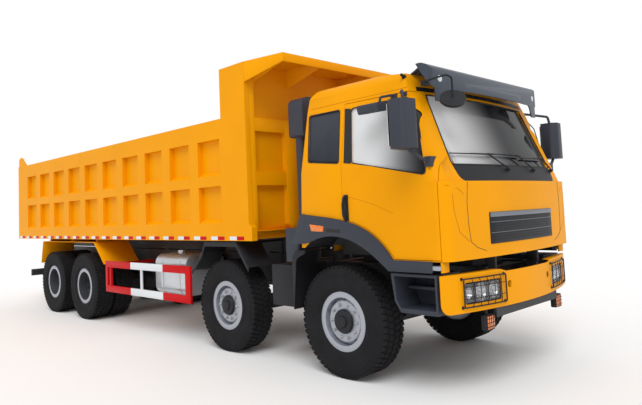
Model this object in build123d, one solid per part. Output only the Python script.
from build123d import *
import os
from math import atan2, cos, degrees, hypot, pi, radians, sin, sqrt, tan

# Eight-wheel dump truck, in millimetres.
# Stations run along X from the first axle, forward positive; Y is left and Z is up from the ground.
# export_node moves every piece so that the origin lies under the middle of the overall box.

# ---------------------------------------------------------------- driving dimensions: whole truck
BUMPER_FACE = 1455            # bumper's front face, ahead of the first axle
BUMPER_SWEEP = 206            # its ends lie this far back of its middle
LAMP_GUARD_STAND = 10         # wire guards stand this far ahead of the bumper
AXLE_GAPS = (1950, 4050, 1350)
REAR_OVERHANG = 1920          # last axle to the tailgate's outer face
HALF_WIDTH = 1247.5           # load body and cab flares

# ---------------------------------------------------------------- wheels
TYRE_RADIUS = 560
TYRE_WIDTH = 312
BEAD_RADIUS = 254
FLANGE_RADIUS = 298
RIM_WIDTH = 260
RIM_SHEET = 14
FRONT_TRACK = 1020            # middle of the front tyre from the centre line
TWIN_TRACK = 915              # middle of a rear pair
TWIN_SPACING = 350
KINGPIN_Y = 900
HUB_RADIUS = 122
STUB_RADIUS = 40
RUNNING_FIT = 0.3             # radial gap of a bearing

# ---------------------------------------------------------------- frame
RAIL_Y = 430                  # outer face of a rail's web
RAIL_DEPTH = 300
RAIL_FLANGE = 80
RAIL_SHEET = 10
RAIL_TOP = 1080
RAIL_FRONT = 1210
RAIL_REAR = -8620
SUBFRAME_HEIGHT = 70
SUBFRAME_REAR = -8480
TOW_EYE = -8770

# ---------------------------------------------------------------- cab
CAB_REAR = -440
PANEL_NOSE = 1430             # middle of the front panel
WAIST_NOSE = 1400             # middle of the windscreen's surface at the waist
RAKE = 0.42                   # windscreen's run back for each unit of rise
NOSE_BOW = 105
CAB_CORNER = 130
CAB_HALF = 1235
CAB_FLOOR = 1200
WAIST = 1890                  # lower edge of the cowl
SILL_TOP = 1200
ROOF_SEAM = 2740
ROOF_TOP = 2990
EAVE_HALF = 1130
TUMBLEHOME = 0.16             # run in for each unit of rise above the waist
CAB_SHEET = 40
DOOR_GAP = 6
DOOR_REAR = 150
DOOR_FRONT = 1262
DOOR_HINGE = (1266, CAB_HALF + 4)
ARCH_CENTRE = (80, 720)
ARCH_INNER = 700
FLARE_UPPER = ((-443, 1658), (-75, 1612), (240, 1556), (484, 1460), (647, 1336), (756, 1206))
FLARE_LOWER = ((704, 1104), (592, 1193), (427, 1303), (202, 1394), (-36, 1420), (-272, 1372))
CAB_HINGE = (1300, 1020)
GLASS = 6
GLASS_FIT = 0.3                # a pane's edge inside its opening

# ---------------------------------------------------------------- load body
BODY_REAR = -9205
BODY_FRONT = -1285
BODY_BOTTOM = 1364
LOWER_RAIL_TOP = 1563
FLOOR_TOP = 1490
FLOOR_PLATE = 10
TOP_RAIL_BOTTOM = 2631
TOP_RAIL_TOP = 2878
MID_RAIL = (2042, 2172)
WALL_SHEET = 8
RIB_DEPTH = 72
PANEL_COUNT = 10
PANEL_FIRST = -8661           # rear edge of the rearmost recess
PANEL_WIDTH = 488
PANEL_PITCH = 700
LEDGE = 55                    # sloping foot of a recess
POST_REAR = -1832
POST_FRONT = -1339
POST_TOP = 3496
HEADBOARD_SKIN = -1400
CANOPY_FRONT = -756
CANOPY_LIP = 100
TAILGATE_DEPTH = 62
BEAM_Y = (355, 425)           # lengthwise beams under the floor
BEAM_HEIGHT = 200
BODY_HINGE = (-8550, 1200)
TAILGATE_HINGE = (-9150, 3020)

# ---------------------------------------------------------------- hoist
HOIST_BASE = (-1000, 880)
HOIST_EYE = (-1120, 2750)
HOIST_RADII = (110, 94, 78, 62, 46)   # barrel, then each stage
HOIST_WALL = 12
HOIST_COLLAR = 34
WELL_HALF = 130                # recess in the headboard that the leaning hoist swings into
WELL_HEAD = 2318
WELL_REAR = -1690

# ---------------------------------------------------------------- worked out from the above
FRONT_REACH = BUMPER_FACE + LAMP_GUARD_STAND
AXLES = [-sum(AXLE_GAPS[:n]) for n in range(4)]
TAILGATE_FACE = AXLES[3] - REAR_OVERHANG
SHIFT = -(FRONT_REACH + TAILGATE_FACE) / 2
AXLE_Z = TYRE_RADIUS
BOGIE = (AXLES[2] + AXLES[3]) / 2
RAIL_BOTTOM = RAIL_TOP - RAIL_DEPTH
SUBFRAME_TOP = RAIL_TOP + SUBFRAME_HEIGHT
CAB_FLOOR_TOP = CAB_FLOOR + CAB_SHEET - 10
BUMPER_BOW = (HALF_WIDTH ** 2 + BUMPER_SWEEP ** 2) / (2 * BUMPER_SWEEP)
BOW_CENTRE = BUMPER_FACE - BUMPER_BOW
BEAM_TOP = BODY_BOTTOM + 1
BEAM_BOTTOM = BEAM_TOP - BEAM_HEIGHT
WALL_INNER = HALF_WIDTH - RIB_DEPTH - WALL_SHEET


# ---------------------------------------------------------------- drawing helpers
def outline(corners):
    """Closed face from corners (u, v) or (u, v, radius)."""
    corners = [(*c, 0) if len(c) == 2 else c for c in corners]
    stops = []
    for i, (u, v, radius) in enumerate(corners):
        here = Vector(u, v)
        back = (Vector(*corners[i - 1][:2]) - here).normalized()
        ahead = (Vector(*corners[(i + 1) % len(corners)][:2]) - here).normalized()
        if not radius:
            stops.append((here, None, here))
            continue
        half = radians(back.get_angle(ahead)) / 2
        bisector = (back + ahead).normalized()
        middle = here + bisector * (radius / sin(half) - radius)
        reach = radius / tan(half)
        stops.append((here + back * reach, middle, here + ahead * reach))
    edges = []
    for i, (arrive, middle, leave) in enumerate(stops):
        if middle:
            edges.append(ThreePointArc(arrive, middle, leave))
        following = stops[(i + 1) % len(stops)][0]
        if (following - leave).length > 1e-6:
            edges.append(Line(leave, following))
    return make_face(edges)


def block(x0, x1, y0, y1, z0, z1):
    """Box between two opposite corners."""
    size = (abs(x1 - x0), abs(y1 - y0), abs(z1 - z0))
    return Pos((x0 + x1) / 2, (y0 + y1) / 2, (z0 + z1) / 2) * Box(*size)


def across(corners, y0, y1, inset=0):
    """Prism of an outline in X and Z, between two widths."""
    start = Plane((0, max(y0, y1), 0), x_dir=(1, 0, 0), z_dir=(0, -1, 0))
    face = offset(outline(corners), amount=-inset) if inset else outline(corners)
    return extrude(start * face, amount=abs(y1 - y0))


def along(corners, x0, x1, inset=0):
    """Prism of an outline in Y and Z, between two stations."""
    start = Plane((min(x0, x1), 0, 0), x_dir=(0, 1, 0), z_dir=(1, 0, 0))
    face = offset(outline(corners), amount=-inset) if inset else outline(corners)
    return extrude(start * face, amount=abs(x1 - x0))


def upward(corners, z0, z1):
    """Prism of an outline in X and Y, between two heights."""
    return extrude(Pos(0, 0, min(z0, z1)) * outline(corners), amount=abs(z1 - z0))


def rod(start, end, radius):
    """Round bar between two points."""
    start, end = Vector(*start), Vector(*end)
    reach = end - start
    return extrude(Plane(origin=start, z_dir=reach) * Circle(radius), amount=reach.length)


def cross_bar(x, z, radius, y0, y1):
    """Round bar across the truck."""
    return rod((x, min(y0, y1), z), (x, max(y0, y1), z), radius)


def spin(corners, x, y, z):
    """Solid of revolution about an axle: corners are (radius, distance out along +Y)."""
    face = Plane((x, y, z), x_dir=(1, 0, 0), z_dir=(0, 0, 1)) * outline(corners)
    return revolve(face, axis=Axis((x, y, z), (0, 1, 0)))


def bent_tube(points, radius, bend):
    """Tube along straight runs joined by arcs."""
    path = FilletPolyline(*points, radius=bend)
    start = Plane(origin=path @ 0, z_dir=path % 0)
    return sweep(start * Circle(radius), path=path)


def other_side(shape):
    return mirror(shape, about=Plane.XZ)


def both(*shapes):
    """The shapes and their mirror images."""
    return [*shapes, *[other_side(s) for s in shapes]]


def export_node(name, *shapes):
    solids = [s for shape in shapes for s in shape.solids()]
    node = Compound(label=name, children=[Pos(SHIFT, 0, 0) * s for s in solids])
    export_step(node, f"parts/{name}.step")


# ---------------------------------------------------------------- wheels
def tyre(x, y):
    """Tyre about its own middle at y; the mirror image serves the other side."""
    half = TYRE_WIDTH / 2
    seat = BEAD_RADIUS + RUNNING_FIT
    lip = RIM_WIDTH / 2 - 17
    side = [(seat, lip), (FLANGE_RADIUS + 2, lip), (FLANGE_RADIUS + 2, lip + 18),
            (FLANGE_RADIUS + 45, half - 8, 25), (440, half, 90), (TYRE_RADIUS - 40, half - 5, 40),
            (TYRE_RADIUS - 10, half - 28, 14), (TYRE_RADIUS, half - 62, 40)]
    mirrored = [(c[0], -c[1], *c[2:]) for c in reversed(side)]
    return spin(side + mirrored, x, y, AXLE_Z)


def rim_barrel(x, y):
    lip = RIM_WIDTH / 2
    inner = BEAD_RADIUS - RIM_SHEET
    side = [(inner, lip), (FLANGE_RADIUS, lip), (FLANGE_RADIUS, lip - RIM_SHEET), (BEAD_RADIUS, lip - RIM_SHEET)]
    mirrored = [(r, -w) for r, w in reversed(side)]
    return spin(side + mirrored, x, y, AXLE_Z)


def wheel_disc(x, y, seat, face, holes):
    """Dished disc from the barrel at seat to the bolt face, both as distances out from y."""
    way = 1 if face > seat else -1
    sheet = RIM_SHEET * way
    inner = BEAD_RADIUS - RIM_SHEET
    disc = spin([(inner, seat), (inner, seat - 40 * way), (inner - RIM_SHEET, seat - 40 * way),
                 (194, face - sheet, 20), (HUB_RADIUS - 20, face - sheet), (HUB_RADIUS - 20, face),
                 (204, face, 24)], x, y, AXLE_Z)
    for n in range(holes):
        turn = 2 * pi * (n + 0.5) / holes
        spot = (x + 222 * cos(turn), AXLE_Z + 222 * sin(turn))
        disc -= cross_bar(*spot, 16, y - 160, y + 160)
    return disc


def front_wheel(x):
    """Steered single wheel, its rim, drum and hub; the +Y side."""
    y = FRONT_TRACK
    disc_face = y + 104
    bore = STUB_RADIUS + RUNNING_FIT
    neck = HUB_RADIUS - 20.3
    hub = spin([(bore, 14), (176, 14), (176, -30), (190, -30), (190, 40), (140, 40), (140, 89.7), (neck, 89.7),
                (neck, 104.3), (HUB_RADIUS, 104.3), (HUB_RADIUS, 118, 6), (HUB_RADIUS - 10, 136, 8), (62, 138), (56, 158, 8),
                (0, 158), (0, 120), (bore, 120)], x, y, AXLE_Z)
    disc = wheel_disc(x, y, 60, disc_face - y, 10)
    return [tyre(x, y)], [rim_barrel(x, y) + disc, hub]


def twin_wheel(x):
    """Pair of rear wheels on one hub; the +Y side."""
    outer = TWIN_TRACK + TWIN_SPACING / 2
    inner = TWIN_TRACK - TWIN_SPACING / 2
    meet = TWIN_SPACING / 2
    outer_rim = rim_barrel(x, outer) + wheel_disc(x, outer, -60, -meet, 10)
    inner_rim = rim_barrel(x, inner) + wheel_disc(x, inner, 60, meet, 10)
    bore = STUB_RADIUS + RUNNING_FIT
    neck = HUB_RADIUS - 20.3
    hub = spin([(bore, -235), (150, -235), (190, -215), (190, -100), (140, -100), (140, -14.3), (neck, -14.3),
                (neck, 14.3), (HUB_RADIUS, 14.3), (HUB_RADIUS, 90, 10), (70, 110, 8), (0, 110), (0, 80), (bore, 80)],
               x, TWIN_TRACK, AXLE_Z)
    return [tyre(x, outer), tyre(x, inner)], [outer_rim, inner_rim, hub]


def knuckle(x):
    """Steering knuckle with its kingpin, lugs and stub axle; the +Y side."""
    pin = rod((x, KINGPIN_Y, AXLE_Z - 120), (x, KINGPIN_Y, AXLE_Z + 120), 22)
    lugs = [rod((x, KINGPIN_Y, z), (x, KINGPIN_Y, z + 40), 48) for z in (AXLE_Z - 108, AXLE_Z + 68)]
    webs = [block(x - 40, x + 40, KINGPIN_Y, KINGPIN_Y + 75, z, z + 40) for z in (AXLE_Z - 108, AXLE_Z + 68)]
    plate = block(x - 60, x + 60, KINGPIN_Y + 62, KINGPIN_Y + 92, AXLE_Z - 108, AXLE_Z + 108)
    stub = cross_bar(x, AXLE_Z, STUB_RADIUS, KINGPIN_Y + 80, FRONT_TRACK + 118)
    return pin + lugs + webs + plate + stub


# ---------------------------------------------------------------- frame and running gear
def frame_rails():
    """Channel rails with the flatter sub-frame rail on top."""
    inner = RAIL_Y - RAIL_FLANGE
    web = RAIL_Y - RAIL_SHEET
    channel = along([(RAIL_Y, RAIL_BOTTOM), (RAIL_Y, RAIL_TOP), (inner, RAIL_TOP), (inner, RAIL_TOP - RAIL_SHEET),
                     (web, RAIL_TOP - RAIL_SHEET), (web, RAIL_BOTTOM + RAIL_SHEET),
                     (inner, RAIL_BOTTOM + RAIL_SHEET), (inner, RAIL_BOTTOM)], RAIL_REAR, RAIL_FRONT)
    sub = block(SUBFRAME_REAR, -1500, inner, RAIL_Y, RAIL_TOP, SUBFRAME_TOP)
    ear = across([(-8620, 900), (-8620, 1200, 60), (-8550, 1270, 60), (-8480, 1200, 60), (-8400, 900)],
                 RAIL_Y, RAIL_Y + 32)
    ear -= cross_bar(*BODY_HINGE, 30, RAIL_Y - 1, RAIL_Y + 40)
    towers = block(1210, 1250, 350, RAIL_Y, RAIL_BOTTOM, 960)
    cab_ear = across([(1210, 800), (1210, 1000), (CAB_HINGE[0] - 45, CAB_HINGE[1] + 45, 40),
                      (CAB_HINGE[0] + 40, CAB_HINGE[1] + 45, 40), (CAB_HINGE[0] + 40, CAB_HINGE[1] - 40, 30),
                      (1250, 800)], 380, 410)
    cab_ear -= cross_bar(*CAB_HINGE, 23, 370, 420)
    return channel + sub + ear + towers + cab_ear


CROSSMEMBERS = (1120, -790, -2900, -4700, -5500, -7900)


def crossmembers():
    inner = RAIL_Y - RAIL_SHEET
    members = []
    for x in CROSSMEMBERS:
        channel = block(x - 50, x + 50, -inner, inner, RAIL_BOTTOM + RAIL_SHEET, RAIL_TOP - RAIL_SHEET)
        members.append(channel - block(x - 38, x + 60, -inner - 1, inner + 1, RAIL_BOTTOM + 30, RAIL_TOP - 30))
    hoist_beam = block(-1130, -870, -inner, inner, RAIL_BOTTOM + RAIL_SHEET, RAIL_BOTTOM + 24)
    cheeks = [across([(-1090, RAIL_BOTTOM + 24), (-1070, 930, 50), (-1000, 960, 50), (-930, 930, 50),
                      (-910, RAIL_BOTTOM + 24)], s * 75, s * 100) for s in (1, -1)]
    hoist_beam += [c - cross_bar(*HOIST_BASE, 31.3, -120, 120) for c in cheeks]
    bogie_beam = block(BOGIE - 120, BOGIE + 120, -inner, inner, RAIL_BOTTOM + RAIL_SHEET, RAIL_TOP - RAIL_SHEET)
    bogie_beam -= block(BOGIE - 105, BOGIE + 121, -inner - 1, inner + 1, RAIL_BOTTOM + 30, RAIL_TOP - 30)
    rear = block(RAIL_REAR, RAIL_REAR + 60, -inner, inner, RAIL_BOTTOM + RAIL_SHEET, RAIL_TOP - RAIL_SHEET)
    front = block(1380, 1410, -630, 630, 662, 744.7)
    return [*members, hoist_beam, bogie_beam, rear, front]


def engine():
    """Engine and gearbox as plain masses on their mounts, then the propeller shaft."""
    inner = RAIL_Y - RAIL_FLANGE
    power = block(-420, 1000, -300, 300, 640, 1170)
    power += block(-700, -420, -190, 190, 640, 1000)
    for x in (-300, 700):
        power += block(x - 60, x + 60, -inner + 0.3, inner - 0.3, 900, 980)
    shaft = rod((-701.5, 0, 715), (AXLES[2] + 334.2, 0, AXLE_Z + 90.4), 45)
    return [power, shaft]


def front_axles():
    """Dropped beam axles with kingpin eyes."""
    beams = []
    for x in AXLES[:2]:
        half = [(0, 430), (0, 520), (560, 520, 60), (700, 605, 40), (KINGPIN_Y - 20, 605),
                (KINGPIN_Y - 20, 515), (740, 515, 40), (600, 430, 60)]
        arm = along(half, x - 45, x + 45)
        eye = rod((x, KINGPIN_Y, AXLE_Z - 62), (x, KINGPIN_Y, AXLE_Z + 62), 46)
        beam = arm + eye
        beam -= rod((x, KINGPIN_Y, AXLE_Z - 70), (x, KINGPIN_Y, AXLE_Z + 70), 23)
        beams.append(beam + other_side(beam))
    return beams


def rear_axles():
    """Drive axles: housing, banjo and the stubs that the hubs turn on."""
    shells = []
    for x in AXLES[2:]:
        reach = TWIN_TRACK - 240
        shell = cross_bar(x, AXLE_Z, 72, -reach, reach)
        shell += cross_bar(x, AXLE_Z, STUB_RADIUS, -TWIN_TRACK - 70, TWIN_TRACK + 70)
        shell += spin([(0, -150), (0, 150), (150, 150, 50), (215, 60, 40), (215, -60, 40), (150, -150, 50)],
                      x, 0, AXLE_Z)
        shell += rod((x, 0, AXLE_Z + 60), (x + 330, 0, AXLE_Z + 90), 95)
        for side in (1, -1):
            shell += block(x - 60, x + 60, side * 380, side * 480, AXLE_Z, AXLE_Z + 79.7)
        shells.append(shell)
    return shells


def leaf_pack(x, middle_z, half_length, leaves, rise, way):
    """Leaves bent to one curve, each shorter than the last; way is +1 for ends up."""
    sheet = 18
    bow = (half_length ** 2 + rise ** 2) / (2 * rise)
    pack = None
    for n in range(leaves):
        near = bow + n * sheet * 1.0
        z0 = middle_z + way * bow
        leaf = cross_bar(x, z0, near + sheet, 385, 475) - cross_bar(x, z0, near, 384, 476)
        reach = half_length * (1 - 0.15 * n)
        leaf &= block(x - reach, x + reach, 380, 480, middle_z - way * (n + 2) * sheet, middle_z + way * (rise + 60))
        pack = leaf if pack is None else pack + leaf
    return pack


def springs():
    packs = []
    for x in AXLES[:2]:
        pack = leaf_pack(x, 615, 720, 5, 90, 1)
        pack += block(x - 70, x + 70, 380, 480, 520.3, 530)
        for end in (-1, 1):
            pack += across([(x + end * 700, RAIL_BOTTOM), (x + end * 780, RAIL_BOTTOM),
                            (x + end * 760, 680, 20), (x + end * 690, 680, 20)], RAIL_Y - 40, RAIL_Y + 40)
        packs += both(pack)
    pack = leaf_pack(BOGIE, 668, 690, 6, 28, -1)
    pack += across([(BOGIE - 260, RAIL_BOTTOM), (BOGIE + 260, RAIL_BOTTOM), (BOGIE + 110, 560, 60),
                    (BOGIE - 110, 560, 60)], RAIL_Y - 45, RAIL_Y + 45)
    packs += both(pack)
    return packs


# ---------------------------------------------------------------- chassis fittings
def bumper():
    """Curved steel bumper with a stepped top, lamp openings and tow holes."""
    skin = rod((BOW_CENTRE, 0, 745), (BOW_CENTRE, 0, 1081), BUMPER_BOW)
    hollow = rod((BOW_CENTRE, 0, 753), (BOW_CENTRE, 0, 1073), BUMPER_BOW - 12)
    reach = HALF_WIDTH - 2
    front = along([(-reach, 1081, 12), (-reach, 745, 90), (reach, 745, 90), (reach, 1081, 12),
                   (530, 1081, 60), (440, 1056, 60), (-440, 1056, 60), (-530, 1081, 60)], 1236, BUMPER_FACE + 10)
    lips = rod((BOW_CENTRE, 0, 700), (BOW_CENTRE, 0, 1100), BUMPER_BOW - 80)
    shell = (skin & front) - hollow - lips
    for side in (1, -1):
        shell -= along([(side * 996, 812, 25), (side * 996, 1003, 25), (side * 522, 1003, 25),
                        (side * 522, 812, 25)], 1100, 1500)
        shell -= rod((1300, side * 400, 935), (1500, side * 400, 935), 34)
    arms = both(block(1250.3, 1436, 346, 372, 830, 980))
    return [shell + arms]


def lamps():
    """Headlamps in the bumper with wire guards, and square fog lamps below."""
    made = []
    for side in (1, -1):
        lens = along([(side * 993, 815, 22), (side * 993, 1000, 22), (side * 525, 1000, 22),
                      (side * 525, 815, 22)], 1200, 1450)
        lens &= rod((BOW_CENTRE, 0, 780), (BOW_CENTRE, 0, 1060), BUMPER_BOW - 8)
        body = along([(side * 1008, 800, 30), (side * 1008, 1015, 30), (side * 510, 1015, 30),
                      (side * 510, 800, 30)], 1200, 1450)
        body &= rod((BOW_CENTRE, 0, 780), (BOW_CENTRE, 0, 1060), BUMPER_BOW - 12.3)
        made.append(lens + body - rod((BOW_CENTRE, 0, 780), (BOW_CENTRE, 0, 1060), BUMPER_BOW - 80))
        guard = bent_guard(side)
        made += guard
        fog = block(1330, 1400, side * 640, side * 780, 560, 695)
        hanger = block(1340, BUMPER_FACE, side * 690, side * 730, 690, 744.7)
        hanger &= rod((BOW_CENTRE, 0, 690), (BOW_CENTRE, 0, 810), BUMPER_BOW - 12.3)
        made.append(fog + hanger)
    return made


def bent_guard(side):
    """Outline of the wire guard: a loop that follows the bumper on four stand-offs."""
    stand = LAMP_GUARD_STAND + 12
    width = (490, 625, 760, 895, 1030)
    loops = []
    for z in (792, 1038):
        spots = [(BOW_CENTRE + sqrt(BUMPER_BOW ** 2 - y ** 2) + stand, side * y, z) for y in width]
        loops += [rod(a, b, 6) for a, b in zip(spots, spots[1:])]
        loops += [Pos(*spot) * Sphere(6) for spot in spots]
    for y in (490, 1030):
        front = BOW_CENTRE + sqrt(BUMPER_BOW ** 2 - y ** 2) + stand
        loops.append(rod((front, side * y, 792), (front, side * y, 1038), 5.5))
        for z in (792, 1038):
            loops.append(rod((front - stand + 1.9, side * y, z), (front, side * y, z), 5))
    loop = loops[0]
    for piece in loops[1:]:
        loop += piece
    return [loop]


def steps():
    """Moulded step housing between the wheel and the bumper."""
    shell = across([(700, 1085), (1195, 1085), (1195, 735), (800, 735, 20), (735, 830, 40)], 850, 1225)
    shell -= across([(735, 1060), (1175, 1060), (1175, 775), (800, 775, 20), (755, 850, 30)], 900, 1230)
    shell += block(760, 1180, 900, 1060, 930, 955)
    shell += block(1090, 1140, RAIL_Y, 870, 950, 1010)
    return both(shell)


def front_mudguards():
    """Guard behind the first wheel and flat-topped guard over the second."""
    rear = across([(-626, 640), (-618, 640), (-618, 1190, 60), (-560, 1262, 30), (-420, 1262), (-420, 1270),
                   (-570, 1270, 30), (-626, 1200, 60)], 860, 1235)
    rear += across([(-626, 640), (-618, 640), (-560, 1180, 80), (-420, 1240), (-420, 1270), (-570, 1270, 30),
                    (-626, 1200, 60)], 1227, 1235)
    x = AXLES[1]
    top = 1350
    outer = [(x - 640, 980), (x - 400, 1215, 60), (x - 330, top, 20), (x + 330, top, 20), (x + 490, 1140, 20), (x + 560, 1060)]
    inner = [(u, v - 9, *r) for u, v, *r in reversed(outer)]
    second = across(outer + inner, 860, 1235)
    lip = [(u, v - 60, *r) for u, v, *r in reversed(outer)]
    second += across(outer + lip, 1227, 1235)
    brackets = [across([(u - 20, 1000), (u - 20, top - 9.3), (u + 20, top - 9.3), (u + 20, 1000)], RAIL_Y, RAIL_Y + 8) for u in (x - 250, x + 250)]
    arms = [block(u - 20, u + 20, RAIL_Y, 900, top - 40, top - 9) for u in (x - 250, x + 250)]
    guard_arm = block(-660, -620, RAIL_Y, 900, 900, 940)
    return both(rear + guard_arm, second + brackets + arms)


def fuel_tank():
    """Rounded tank with straps, cap and brackets on the right rail."""
    shape = [(-1130, 590, 110), (-1130, 1150, 130), (-500, 1150, 110), (-500, 590, 110)]
    tank = along(shape, -3720, -2900)
    wide = [(-1136, 584, 116), (-1136, 1156, 136), (-494, 1156, 116), (-494, 584, 116)]
    straps = [along(wide, x - 22, x + 22) - along(shape, x - 30, x + 30) for x in (-3540, -3080)]
    cap = rod((-3420, -860, 1150), (-3420, -860, 1195), 60)
    brackets = [block(x - 40, x + 40, -494, -RAIL_Y, 700, 1000) for x in (-3540, -3080)]
    return [tank + cap, straps[0] + brackets[0], straps[1] + brackets[1]]


def oil_tank():
    """Hydraulic oil tank on the left rail."""
    tank = along([(500, 620, 60), (500, 1120, 60), (900, 1120, 60), (900, 620, 60)], -3500, -2900)
    tank += block(-3400, -3000, RAIL_Y, 500, 800, 1000)
    tank += rod((-3200, 700, 1120), (-3200, 700, 1160), 50)
    return [tank]


def battery_box():
    """Battery box and air tanks between the first two wheels."""
    box = block(-1090, -700, -1130, -640, 640, 1095)
    box += block(-1000, -800, -640, -RAIL_Y, 800, 1000)
    tanks = [cross_bar(-850, z, 120, 560, 1120) + block(-900, -800, RAIL_Y, 560, z - 50, z + 50) for z in (760, 1020)]
    return [box, *tanks]


def side_guards():
    """Lateral guard frame hung from the rails."""
    low, high = 530, 1020
    rear, front = -5122, -2630
    face = HALF_WIDTH - 4
    panel = block(rear, front, face - 30, face, low, high)
    panel -= block(rear + 190, front - 125, face - 31, face + 1, low + 102, high - 102)
    panel -= block(rear + 70, rear + 140, face - 31, face + 1, low + 102, high - 102)
    panel += block(-3985, -3945, face - 28, face - 4, low + 102, high - 102)
    arms = [block(x - 25, x + 25, RAIL_Y, face - 30, 930, 980) for x in (rear + 100, -3965)]
    return both(panel + arms)


def air_intake():
    """Raised intake behind the cab, on its pipe and stay."""
    head = along([(-1052, 2518, 40), (-1052, 2965, 90), (-800, 2965, 70), (-800, 2518, 40)], -790, -560)
    pipe = rod((-690, -960, 1500), (-690, -960, 2518), 62)
    box = upward([(-860, -1120, 30), (-640, -1120, 30), (-640, -760, 30), (-860, -760, 30)], 1130, 1500)
    stay = block(-800, -740, -1000, -RAIL_Y, 1110, 1130)
    stay += block(-800, -740, -RAIL_Y - 20, -RAIL_Y, 950, 1110)
    return [head + pipe + box + stay]


def rear_lamp_bar():
    """Bar with tail lamps, plate bracket and tow eye behind the last axle."""
    bar = block(-8700, -8640, -1180, 1180, 620, 720)
    bar += both(block(-8640, -8400, 350, RAIL_Y, 620, RAIL_BOTTOM))
    lamp_boxes = both(block(-8730, -8700, 860, 1170, 600, 730))
    eye = upward([(RAIL_REAR, -60), (RAIL_REAR, 60), (TOW_EYE - 60, 60, 50), (TOW_EYE - 60, -60, 50)], 830, 890)
    eye -= rod((TOW_EYE, 0, 820), (TOW_EYE, 0, 900), 25)
    return [bar + lamp_boxes, eye]


# ---------------------------------------------------------------- cab
def plan(nose, inset):
    """Plan outline of the cab: bowed nose and rounded corners."""
    half = CAB_HALF - inset
    nose -= inset
    corner = nose - NOSE_BOW
    edges = [Line((-2000, -half), (corner, -half)), ThreePointArc((corner, -half), (nose, 0), (corner, half)),
             Line((corner, half), (-2000, half)), Line((-2000, half), (-2000, -half))]
    face = make_face(edges)
    return fillet(face.vertices().group_by(Axis.X)[-1], CAB_CORNER - inset)


def cab_body(inset):
    """Outer form of the cab, or its inner form when inset."""
    lower = extrude(Pos(0, 0, CAB_FLOOR) * plan(PANEL_NOSE, inset), amount=WAIST - CAB_FLOOR)
    leaning = Plane((0, 0, WAIST), x_dir=(1, 0, RAKE), z_dir=(-RAKE, 0, 1))
    upper = extrude(leaning * plan(WAIST_NOSE / hypot(1, RAKE), inset), amount=1500, both=True)
    upper &= block(-1600, 1700, -1400, 1400, WAIST, 3200)
    roof = ROOF_TOP - inset
    wide = CAB_HALF + 60
    eave = EAVE_HALF - inset
    section = [(-wide, CAB_FLOOR - 10 + inset), (-wide, ROOF_SEAM - (wide - eave) / TUMBLEHOME),
               (-eave, ROOF_SEAM, 400), (-eave + 60, roof, 150), (eave - 60, roof, 150), (eave, ROOF_SEAM, 400),
               (wide, ROOF_SEAM - (wide - eave) / TUMBLEHOME), (wide, CAB_FLOOR - 10 + inset)]
    rear = CAB_REAR + inset
    side = [(rear - 25, CAB_FLOOR - 20 + inset), (rear + 55, roof - 100, 70), (rear + 190, roof + 60),
            (80, roof + 45), (1060, roof - 82), (1600, roof - 300), (1600, CAB_FLOOR - 20 + inset)]
    form = (lower + upper) & along(section, -1500, 1700)
    return form & across(side, -1500, 1500)


def arch(radius, y0, y1):
    return cross_bar(ARCH_CENTRE[0], ARCH_CENTRE[1], radius, y0, y1)


def flare_upper(gap):
    """Upper edge of the flare, moved out by the gap; the door ends against it."""
    return [(u + gap * lean, v + gap) for (u, v), lean in zip(FLARE_UPPER, (-0.2, 0.2, 0.4, 0.7, 1, 1))]


def under_flare(gap, y0, y1):
    """Everything below the flare's upper edge, which the door leaves out."""
    edge = Spline(*flare_upper(gap))
    face = make_face([edge, Line(edge @ 1, ((edge @ 1).X, 900)),
                      Line(((edge @ 1).X, 900), ((edge @ 0).X, 900)), Line(((edge @ 0).X, 900), edge @ 0)])
    start = Plane((0, max(y0, y1), 0), x_dir=(1, 0, 0), z_dir=(0, -1, 0))
    return extrude(start * face, amount=abs(y1 - y0))


def door_outline(gap):
    """Door's edge in side view; the rear lower edge follows the arch."""
    return [(DOOR_REAR + gap, 2752 - gap), (985 - gap, 2748 - gap, 30), (1122 - gap, 2391, 400),
            (1231 - gap, 2132, 200), (DOOR_FRONT - gap, 1880, 100), (DOOR_FRONT - gap, SILL_TOP + 8 + gap),
            (DOOR_REAR + gap, SILL_TOP + 8 + gap)]


SIDE_GLASS = [(240, 2690, 30), (930, 2690, 30), (1048, 2530, 150), (1160, 1955, 40), (288, 2135, 20)]
QUARTER_GLASS = [(-362, 2700, 30), (88, 2700, 30), (116, 2146, 30), (-330, 2196, 30)]
SCREEN_EDGE = [(-985, 2046, 60), (985, 2046, 60), (926, 2722, 60), (-926, 2722, 60)]
REAR_WINDOW = [(-750, 2120, 60), (750, 2120, 60), (720, 2640, 60), (-720, 2640, 60)]


def cab_cuts():
    """Everything taken out of the shell: screen, side windows, rear window and wheel arches."""
    screen = along(SCREEN_EDGE, 700, 1700)
    rear = along(REAR_WINDOW, -800, 0)
    quarters = both(across(QUARTER_GLASS, 1000, 1300))
    arches = both(arch(ARCH_INNER + 60, 820, 1300))
    return [screen, rear, *quarters, *arches]


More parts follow.
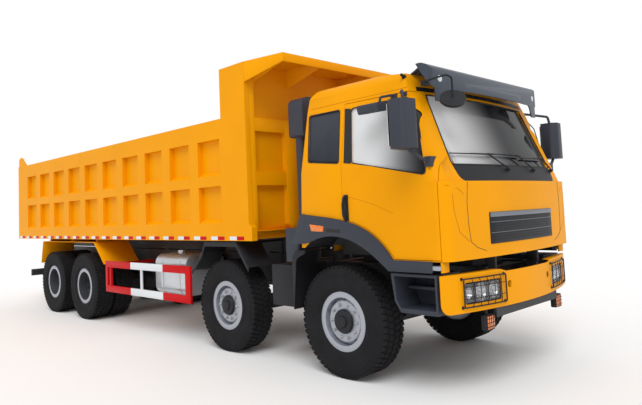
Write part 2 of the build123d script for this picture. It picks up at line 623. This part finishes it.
def cab_parts():
    """The cab's panels, each cut from the outer form and hollowed by the inner one."""
    outer = cab_body(0)
    inner = cab_body(CAB_SHEET)
    sill = CAB_HALF - CAB_SHEET
    doorways = both(across(door_outline(0), 1000, 1300) - under_flare(3, 990, 1310)
                    - block(0, 1400, 990, sill, CAB_FLOOR - 20, CAB_FLOOR + CAB_SHEET))
    skins = both(across(door_outline(DOOR_GAP), 1000, 1300) - under_flare(3 + DOOR_GAP, 990, 1310)
                 - block(0, 1400, 990, sill + DOOR_GAP, CAB_FLOOR - 20, CAB_FLOOR + CAB_SHEET + DOOR_GAP))
    panes = both(across(SIDE_GLASS, 900, 1300))
    doors = [(outer & skin) - inner - pane for skin, pane in zip(skins, panes)]
    roof_cut = block(-1500, 1700, -1400, 1400, ROOF_SEAM + 15, 3200)
    roof = (outer & roof_cut) - inner
    panel_cut = along([(-930, WAIST), (-1000, 1420, 30), (-790, 1270, 30), (-700, 1190), (700, 1190),
                       (790, 1270, 30), (1000, 1420, 30), (930, WAIST)], 1345, 1700)
    panel = (outer & panel_cut) - inner
    panel -= along([(-640, 1315, 20), (-640, 1600, 20), (640, 1600, 20), (640, 1315, 20)], 1300, 1700) - cab_body(22)
    cowl_cut = along([(-985, 2045.7), (-950, WAIST, 90), (950, WAIST, 90), (985, 2045.7)], 1150, 1700)
    cowl = (outer & cowl_cut) - inner
    tunnel = block(CAB_REAR - 100, 1250, -400, 400, CAB_FLOOR - 60, 1300)
    liner = both(arch(ARCH_INNER + 100, 780, 1300))
    shell = outer - (inner - tunnel - liner)
    shell -= block(CAB_REAR - 200, 1180, -360, 360, CAB_FLOOR - 100, 1260)
    shell -= both(block(CAB_REAR - 100, -250, 780, 1300, CAB_FLOOR - 50, 1300))
    for cut in (roof_cut, panel_cut, cowl_cut, *cab_cuts(), *doorways):
        shell -= cut
    brackets = both(across([(CAB_HINGE[0] - 30, CAB_HINGE[1] - 20, 20), (CAB_HINGE[0] + 28, CAB_HINGE[1] - 20, 20),
                            (CAB_HINGE[0] + 28, CAB_FLOOR + 10), (CAB_HINGE[0] - 120, CAB_FLOOR + 10),
                            (CAB_HINGE[0] - 30, CAB_HINGE[1] + 40)], 420, 450))
    pins = both(cross_bar(*CAB_HINGE, 22, 376, 452))
    shell = shell + brackets + pins
    return shell, roof, panel, cowl, doors


# ---------------------------------------------------------------- load body
def body_side():
    """Left side: sheet with pressed ribs, rails and the tall front post."""
    outer = HALF_WIDTH
    wall = block(BODY_REAR, POST_FRONT, WALL_INNER, outer, LOWER_RAIL_TOP, TOP_RAIL_TOP)
    rail = across([(BODY_REAR, BODY_BOTTOM), (BODY_FRONT, BODY_BOTTOM), (BODY_FRONT, LOWER_RAIL_TOP - 40),
                   (BODY_FRONT - 54, LOWER_RAIL_TOP), (BODY_REAR, LOWER_RAIL_TOP)], WALL_INNER, outer)
    post = block(POST_REAR, POST_FRONT, WALL_INNER, outer, TOP_RAIL_TOP, POST_TOP)
    side = wall + rail + post
    foot = outer - RIB_DEPTH
    for z0, z1 in ((LOWER_RAIL_TOP + 15, MID_RAIL[0]), (MID_RAIL[1], TOP_RAIL_BOTTOM)):
        for n in range(PANEL_COUNT):
            x = PANEL_FIRST + n * PANEL_PITCH
            side -= along([(outer + 1, z0), (foot, z0 + LEDGE), (foot, z1), (outer + 1, z1)], x, x + PANEL_WIDTH)
    ear = across([(BODY_REAR, TOP_RAIL_TOP), (BODY_REAR, TAILGATE_HINGE[1] + 10, 30),
                  (-9090, TAILGATE_HINGE[1] + 60, 40), (-8800, TOP_RAIL_TOP + 20), (-8780, TOP_RAIL_TOP)],
                 WALL_INNER + 35, outer - 15)
    ear -= cross_bar(*TAILGATE_HINGE, 21, 1100, 1300)
    return side + ear


def body_floor():
    """Floor plate on cross bearers and two lengthwise beams, with the hinge pins."""
    inner = WALL_INNER - 0.3
    front = HEADBOARD_SKIN - WALL_SHEET - 0.3
    floor = block(BODY_REAR, front, -inner, inner, FLOOR_TOP - FLOOR_PLATE, FLOOR_TOP)
    for n in range(12):
        x = BODY_REAR + 80 + n * (BODY_FRONT - BODY_REAR - 160) / 11
        bearer = block(x - 35, x + 35, -inner, inner, BEAM_TOP, FLOOR_TOP - FLOOR_PLATE)
        floor += bearer - block(x - 25, x + 40, -inner - 1, inner + 1, BEAM_TOP + 10, FLOOR_TOP - FLOOR_PLATE - 10)
    well = WELL_HALF + WALL_SHEET + 0.3
    floor -= block(WELL_REAR - 0.3, BODY_FRONT, -well, well, BEAM_TOP - 1, FLOOR_TOP + 1)
    beams = [block(BODY_HINGE[0] - 100, BODY_FRONT - 60, s * BEAM_Y[0], s * BEAM_Y[1], BEAM_BOTTOM, BEAM_TOP) for s in (1, -1)]
    floor += beams
    for s in (1, -1):
        floor += cross_bar(*BODY_HINGE, 29, s * BEAM_Y[0], s * 470)
        for x in (-2000, -4600, -7200):
            floor += block(x - 60, x + 60, s * BEAM_Y[0], s * BEAM_Y[1], SUBFRAME_TOP + 0.3, BEAM_BOTTOM)
    return floor


def headboard():
    """Front wall with its rails, hoist well, posts and the cab canopy."""
    inner = WALL_INNER - 0.3
    bottom, top = FLOOR_TOP - FLOOR_PLATE + 0.3, POST_TOP
    board = block(HEADBOARD_SKIN - 8, HEADBOARD_SKIN, -inner, inner, bottom, top)
    for z0, z1 in ((2017, 2186), (2673, 2833)):
        board += block(HEADBOARD_SKIN, POST_FRONT, -inner, inner, z0, z1)
    for s in (1, -1):
        board += block(HEADBOARD_SKIN, POST_FRONT, s * 1100, s * inner, bottom, top)
        post = along([(s * 420, bottom + 60), (s * 480, bottom), (s * 560, bottom), (s * 620, bottom + 60),
                      (s * 620, 2833), (s * 420, 2833)], HEADBOARD_SKIN, POST_FRONT + 10)
        board += post
        cheek = across([(POST_FRONT - 20, 2560), (POST_FRONT - 20, 3000), (-1170, 3000, 30), (-1060, 2800, 60),
                        (-1060, 2680, 60), (-1170, 2560, 30)], s * 122, s * 147)
        board += cheek
    board += block(HEADBOARD_SKIN, POST_FRONT, -440, 440, 2540, 3020)
    board -= block(HEADBOARD_SKIN - WALL_SHEET - 1, POST_FRONT + 1, -WELL_HALF, WELL_HALF, bottom - 1, WELL_HEAD - 28)
    slope = [(HEADBOARD_SKIN - WALL_SHEET, WELL_HEAD), (WELL_REAR, bottom)]
    back = [(x + 1.055 * WALL_SHEET, z) for x, z in reversed(slope)]
    board += across(slope + back, -WELL_HALF - WALL_SHEET, WELL_HALF + WALL_SHEET)
    for s in (1, -1):
        board += across([slope[0], slope[1], (HEADBOARD_SKIN, bottom), (HEADBOARD_SKIN, WELL_HEAD)],
                        s * WELL_HALF, s * (WELL_HALF + WALL_SHEET))
    return board + canopy()


def canopy():
    """Cab canopy: top sheet, sloping fascia on three sides and gussets to the front wall."""
    wide, inner, gusset = HALF_WIDTH - 3, WALL_INNER - 0.3, 3250
    rear = POST_FRONT + 0.3
    plan_form = [(rear, -wide), (CANOPY_FRONT, -1131), (CANOPY_FRONT, 1131), (rear, wide)]
    inside = [(rear - 1, 8 - wide), (CANOPY_FRONT - 8, -1123), (CANOPY_FRONT - 8, 1123), (rear - 1, wide - 8)]
    hood = upward(plan_form, gusset, POST_TOP) - upward(inside, gusset - 1, POST_TOP - 8)
    hood -= across([(rear - 1, gusset - 2), (rear - 1, gusset), (CANOPY_FRONT - 8, POST_TOP - CANOPY_LIP),
                    (CANOPY_FRONT + 1, POST_TOP - CANOPY_LIP), (CANOPY_FRONT + 1, gusset - 2)], -1300, 1300)
    hood += block(HEADBOARD_SKIN, rear + 1, -inner, inner, POST_TOP - 8, POST_TOP)
    for y in (-1100, -500, 492, 1092):
        hood += across([(HEADBOARD_SKIN, gusset + 4), (HEADBOARD_SKIN, POST_TOP - 8), (-800, POST_TOP - 8),
                        (-800, POST_TOP - CANOPY_LIP + 10)], y, y + 8)
    return hood


def body_mudguards():
    """Folded guards over the rear pairs, hung from the floor's edge."""
    outer = [(-5180, 965), (-5560, 1315, 20), (-7850, 1315, 20), (-7960, 900)]
    inner = [(u + d, v - 8, *r) for (u, v, *r), d in zip(reversed(outer), (8, 4, -4, -10))]
    guard = across(outer + inner, 620, 1240)
    for x in (-5640, -6675, -7700):
        guard += block(x - 20, x + 20, 700, 1150, 1315, BEAM_TOP - 0.3)
    return both(guard)


def tailgate():
    face, inside = TAILGATE_FACE, BODY_REAR - 5
    gate = block(face + 20, inside, -1225, 1225, FLOOR_TOP - 60, 2830)
    gate += block(face, face + 20, -1225, 1225, FLOOR_TOP - 60, FLOOR_TOP + 100)
    gate += block(face, face + 20, -1225, 1225, 2650, 2830)
    for n in range(6):
        y = -1225 + n * (2450 - 180) / 5
        gate += block(face, face + 20, y, y + 180, FLOOR_TOP - 60, 2830)
    for s in (1, -1):
        arm = across([(face, 2700), (face, TAILGATE_HINGE[1] + 30, 30), (TAILGATE_HINGE[0] + 45, TAILGATE_HINGE[1] + 45, 44),
                      (TAILGATE_HINGE[0] + 45, TAILGATE_HINGE[1] - 45, 44), (inside, 2900, 20), (inside, 2700)],
                     s * (WALL_INNER - 10), s * (WALL_INNER + 28))
        gate += arm
        gate += cross_bar(*TAILGATE_HINGE, 20, s * WALL_INNER, s * (HALF_WIDTH - 10))
    return gate


# ---------------------------------------------------------------- hoist
def hoist_axis():
    run, rise = HOIST_EYE[0] - HOIST_BASE[0], HOIST_EYE[1] - HOIST_BASE[1]
    length = hypot(run, rise)
    return run / length, rise / length, length


def on_hoist(s):
    dx, dz, _ = hoist_axis()
    return (HOIST_BASE[0] + dx * s, 0, HOIST_BASE[1] + dz * s)


def hoist():
    """Telescopic ram: barrel on its trunnion, four nested stages and the rod's eye."""
    length = hoist_axis()[2]
    parts = []
    for n, radius in enumerate(HOIST_RADII):
        start = 90 if n == 0 else 106 + n * 6
        stop = 1690 + n * HOIST_COLLAR
        tube = rod(on_hoist(start), on_hoist(stop), radius)
        if n < 4:
            tube -= rod(on_hoist(start + 14 if n == 0 else start - 1), on_hoist(stop - 30), radius - HOIST_WALL)
            tube -= rod(on_hoist(stop - 31), on_hoist(stop + 1), HOIST_RADII[n + 1] + RUNNING_FIT)
        if n == 0:
            tube += rod(on_hoist(30), on_hoist(96), 50)
            tube += cross_bar(*HOIST_BASE, 55, -68, 68)
            tube += cross_bar(*HOIST_BASE, 31, -102, 102)
        if n == 4:
            tube += rod(on_hoist(stop), on_hoist(length), 40)
            tube += cross_bar(*HOIST_EYE, 52, -45, 45)
            tube += cross_bar(*HOIST_EYE, 30, -115, 115)
        parts.append(tube)
    return parts


# ---------------------------------------------------------------- cab fittings
def cab_glass():
    """Windscreen, rear window and rear quarter glass, set in their openings."""
    mid = cab_body(12) - cab_body(12 + GLASS)
    screen = along(SCREEN_EDGE, 700, 1700, GLASS_FIT)
    rear = along(REAR_WINDOW, -800, 0, GLASS_FIT)
    return [mid & pane for pane in (screen, rear, *both(across(QUARTER_GLASS, 1000, 1300, GLASS_FIT)))]


def door_glass():
    mid = cab_body(14) - cab_body(14 + GLASS)
    return [mid & pane for pane in both(across(SIDE_GLASS, 1000, 1300, GLASS_FIT))]


def visor_hood(inset):
    """Outer form of the sun visor, or its inner form when inset."""
    nose, half, drop, top = 1222 - inset, 1106 - inset, 88, 2992 - inset
    corner = nose - drop
    edges = [Line((700, -half), (corner, -half)), ThreePointArc((corner, -half), (nose, 0), (corner, half)),
             Line((corner, half), (700, half)), Line((700, half), (700, -half))]
    face = make_face(edges)
    face = fillet(face.vertices().group_by(Axis.X)[-1], 110 - inset)
    profile = across([(880, 2931.3 - inset), (985, top - 8, 60), (1108, top, 90), (nose + 6, 2780, 200),
                      (nose + 6, 2570 - inset), (880, 2570 - inset)], -1200, 1200)
    return extrude(Pos(0, 0, 2580) * face, amount=460) & profile


def sun_visor():
    """Moulded hood that wraps round the head of the screen, seated on the roof and the pillars."""
    visor = visor_hood(0) - visor_hood(12) - cab_body(-0.3)
    visor -= along([(-905, 2560), (-820, 2752, 70), (820, 2752, 70), (905, 2560)], 900, 1400)
    visor -= across([(860, 2560), (860, 2700), (1000, 2700), (1222, 2598), (1240, 2560)], -1200, 1200)
    visor -= both(across([(860, 2560), (860, 3010), (1005, 3010), (1180, 2700), (1222, 2598), (1240, 2560)], 1000, 1200))
    return [max(visor.solids(), key=lambda s: s.volume)]


def arch_flares():
    """Wheel-arch flares with a raised rear end, and the sill trim below the doors."""
    upper, lower = Spline(*FLARE_UPPER), Spline(*FLARE_LOWER)
    corners = [FLARE_UPPER[-1], (1176, 1204), (1176, FLARE_LOWER[0][1]), FLARE_LOWER[0]]
    tail = [FLARE_LOWER[-1], (-380, 1345), (-632, 1330), (-565, 1385), FLARE_UPPER[0]]
    edges = [upper, lower]
    for path in (corners, tail):
        edges += [Line(a, b) for a, b in zip(path, path[1:])]
    start = Plane((0, HALF_WIDTH + 14, 0), x_dir=(1, 0, 0), z_dir=(0, -1, 0))
    return both(extrude(start * make_face(edges), amount=HALF_WIDTH + 14 - CAB_HALF))


def cab_interior():
    """Two seats, dashboard and steering wheel."""
    pieces = []
    for y in (-560, 560):
        seat = block(-60, 420, y - 240, y + 240, 1560, 1680)
        seat += block(-180, -60, y - 240, y + 240, 1560, 2240)
        seat += block(-150, -70, y - 130, y + 130, 2240, 2400)
        seat += block(60, 320, y - 150, y + 150, CAB_FLOOR_TOP, 1560)
        pieces.append(seat)
    dash = across([(860, 1560), (820, 1980, 60), (1130, 2000, 40), (1210, 1560)], -1025, 1025)
    dash += block(960, 1150, -300, 300, 1300, 1560)
    pieces.append(dash)
    tilt = Plane(origin=(640, 560, 1930), z_dir=(-0.45, 0, 0.9))
    wheel = tilt * Torus(215, 15)
    wheel += tilt * Box(410, 40, 14)
    wheel += tilt * Box(40, 410, 14)
    wheel += rod((640, 560, 1930), (1000, 560, 1196), 24) & block(600, 1100, 500, 600, CAB_FLOOR_TOP, 2000)
    pieces.append(wheel)
    return pieces


def door_mirrors():
    """Main mirror on its arms for each door; the +Y side."""
    head = upward([(1028, 1350, 40), (1165, 1345, 50), (1222, 1420, 60), (1200, 1585, 60), (1040, 1590, 40)], 2178, 2600)
    upper = bent_tube([(900, 1120, 2722), (935, 1230, 2722), (1100, 1440, 2685), (1115, 1450, 2590)], 14, 30)
    lower = bent_tube([(1180, 1215, 2070), (1165, 1290, 2095), (1135, 1420, 2160), (1130, 1440, 2190)], 16, 30)
    feet = block(1150, 1210, 1130, 1240, 2025, 2115) + block(870, 930, 1085, 1150, 2704, 2740)
    return head + ((upper + lower + feet) - cab_body(-0.3))


def kerb_mirror():
    """Wide mirror over the right door, on its bracket."""
    head = along([(-1245, 2580, 25), (-1262, 2668, 20), (-1430, 2636, 25), (-1405, 2552, 25)], 560, 800)
    arm = bent_tube([(790, -1120, 2722), (785, -1180, 2728), (740, -1290, 2705), (735, -1300, 2640)], 12, 25)
    foot = block(750, 820, -1150, -1085, 2704, 2740)
    return head + ((arm + foot) - cab_body(-0.3))


def front_mirror():
    """Round mirror ahead of the screen's right corner, on a bent rod."""
    stalk = bent_tube([(1110, -1085, 2790), (1175, -1150, 2800), (1320, -1080, 2830), (1325, -1000, 2815),
                       (1325, -1000, 2640)], 9, 30) - visor_hood(-0.3)
    foot = block(1080, 1130, -1125, -1060, 2765, 2815) - visor_hood(-0.3)
    disc = Plane(origin=(1325, -1000, 2622), z_dir=(0.47, -0.57, 0.67)) * Cylinder(115, 26)
    return stalk + foot + disc


# ---------------------------------------------------------------- build
os.makedirs("parts", exist_ok=True)

SIDES = (("left", lambda s: s), ("right", other_side))
for number, x in enumerate(AXLES, 1):
    tyres, rims = (front_wheel if number < 3 else twin_wheel)(x)
    for side, place in SIDES:
        export_node(f"tyre_{number}_{side}", *[place(t) for t in tyres])
        export_node(f"rim_{number}_{side}", *[place(r) for r in rims])
        if number < 3:
            export_node(f"knuckle_{number}_{side}", place(knuckle(x)))

export_node("frame_rails", *both(frame_rails()))
export_node("crossmembers", *crossmembers())
export_node("engine", *engine())
export_node("front_axles", *front_axles())
export_node("rear_axles", *rear_axles())
export_node("leaf_springs", *springs())
export_node("front_bumper", *bumper())
export_node("lamps", *lamps())
export_node("cab_steps", *steps())
export_node("front_mudguards", *front_mudguards())
export_node("tanks", *fuel_tank(), *oil_tank())
export_node("battery_box", *battery_box())
export_node("side_guards", *side_guards())
export_node("air_intake", *air_intake())
export_node("rear_lamp_bar", *rear_lamp_bar())

shell, roof, panel, cowl, doors = cab_parts()
export_node("cab_shell", shell)
export_node("cab_roof", roof)
export_node("cab_front_panel", panel)
export_node("cab_cowl", cowl)
export_node("cab_glass", *cab_glass())
export_node("sun_visor", *sun_visor())
export_node("arch_flares", *arch_flares())
export_node("front_mirror", front_mirror())
export_node("cab_interior", *cab_interior())
panes = door_glass()
for n, (side, place) in enumerate(SIDES):
    export_node(f"door_{side}", doors[n])
    export_node(f"door_glass_{side}", panes[n])
    export_node(f"door_mirrors_{side}", place(door_mirrors()), *([kerb_mirror()] if n else []))

export_node("body_sides", *both(body_side()))
export_node("body_floor", body_floor())
export_node("headboard", headboard())
export_node("body_mudguards", *body_mudguards())
export_node("tailgate", tailgate())
for name, tube in zip(("hoist_barrel", "hoist_stage_1", "hoist_stage_2", "hoist_stage_3", "hoist_rod"), hoist()):
    export_node(name, tube)
